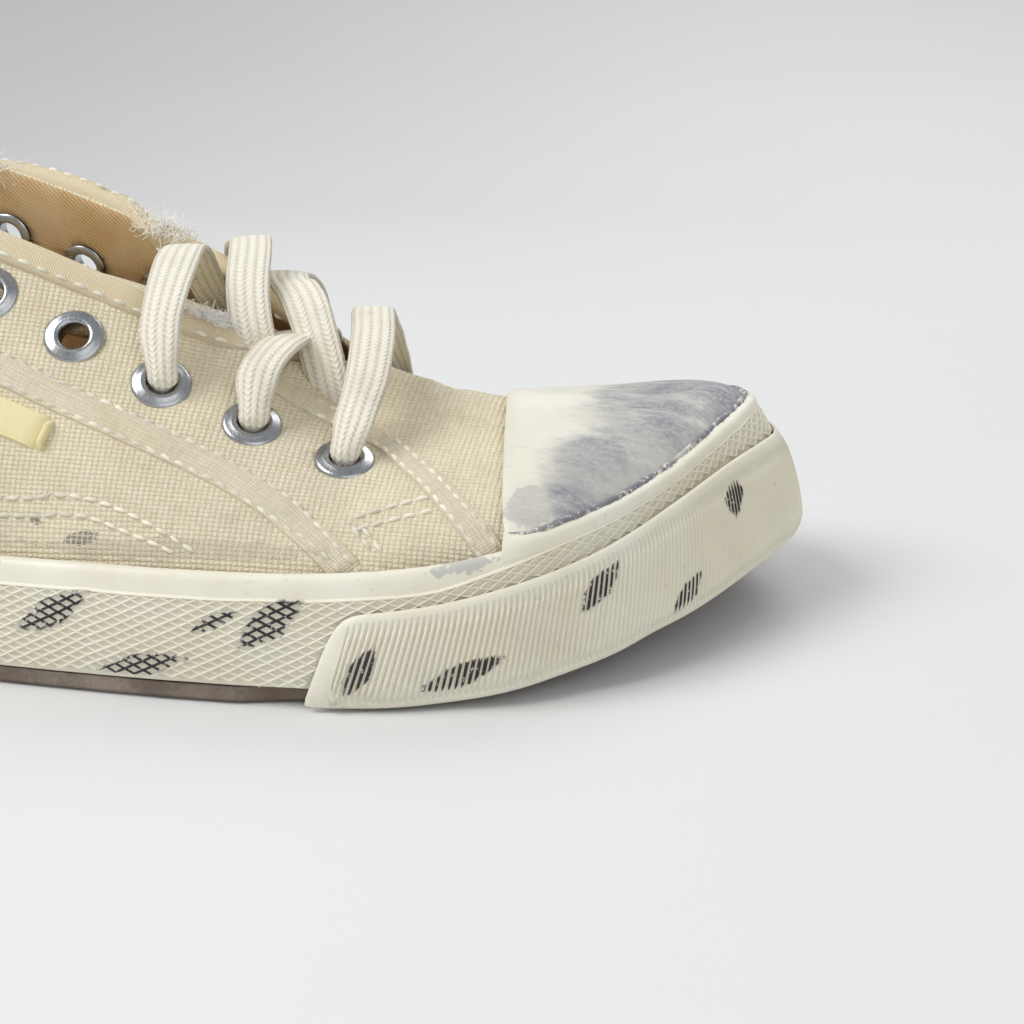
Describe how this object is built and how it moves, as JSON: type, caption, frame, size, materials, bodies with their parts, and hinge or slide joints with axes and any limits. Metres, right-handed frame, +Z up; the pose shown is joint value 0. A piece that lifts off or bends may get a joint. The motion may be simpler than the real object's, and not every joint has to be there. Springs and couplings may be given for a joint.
{
  "type": "worn-out low canvas sneaker",
  "caption": "Right low-cut canvas sneaker with a rubber toe cap, ribbed toe bumper and loose flat lace, worn, creased and dirty, standing empty on its sole.",
  "frame": {"origin": "middle of the length and width, on the floor the sole stands on", "axes": "+X from heel to toe, +Y to the inner (medial) side of the foot, +Z up"},
  "size_m": [0.2903, 0.1092, 0.0827],
  "materials": {
    "outsole": "worn matt tread rubber",
    "sole_wall": "aged cream rubber, dirty grooves",
    "toe_bumper": "ribbed cream rubber, worn through in spots",
    "toe_cap": "smooth cream rubber, rubbed grey",
    "canvas": "plain weave canvas, faded and dirty",
    "footbed": "worn cloth over foam",
    "tongue_cloth": "canvas with a twill lining",
    "eyelet_metal": "dull plated washer",
    "lace_cloth": "flat woven cotton",
    "tab_satin": "plain folded satin"
  },
  "bodies": {
    "root": {"outsole": "outsole", "foxing": "sole_wall", "toe_bumper": "toe_bumper", "toe_cap": "toe_cap", "upper": "canvas", "insole": "footbed", "tongue": "tongue_cloth", "label_tab": "tab_satin", "eyelet_lateral_1": "eyelet_metal", "eyelet_lateral_2": "eyelet_metal", "eyelet_lateral_3": "eyelet_metal", "eyelet_lateral_4": "eyelet_metal", "eyelet_lateral_5": "eyelet_metal", "eyelet_lateral_6": "eyelet_metal", "eyelet_medial_1": "eyelet_metal", "eyelet_medial_2": "eyelet_metal", "eyelet_medial_3": "eyelet_metal", "eyelet_medial_4": "eyelet_metal", "eyelet_medial_5": "eyelet_metal", "eyelet_medial_6": "eyelet_metal", "lace_strip_1": "lace_cloth", "lace_strip_2": "lace_cloth", "lace_strip_3": "lace_cloth", "lace_strip_4": "lace_cloth", "lace_strip_5": "lace_cloth"}
  },
  "joints": []
}
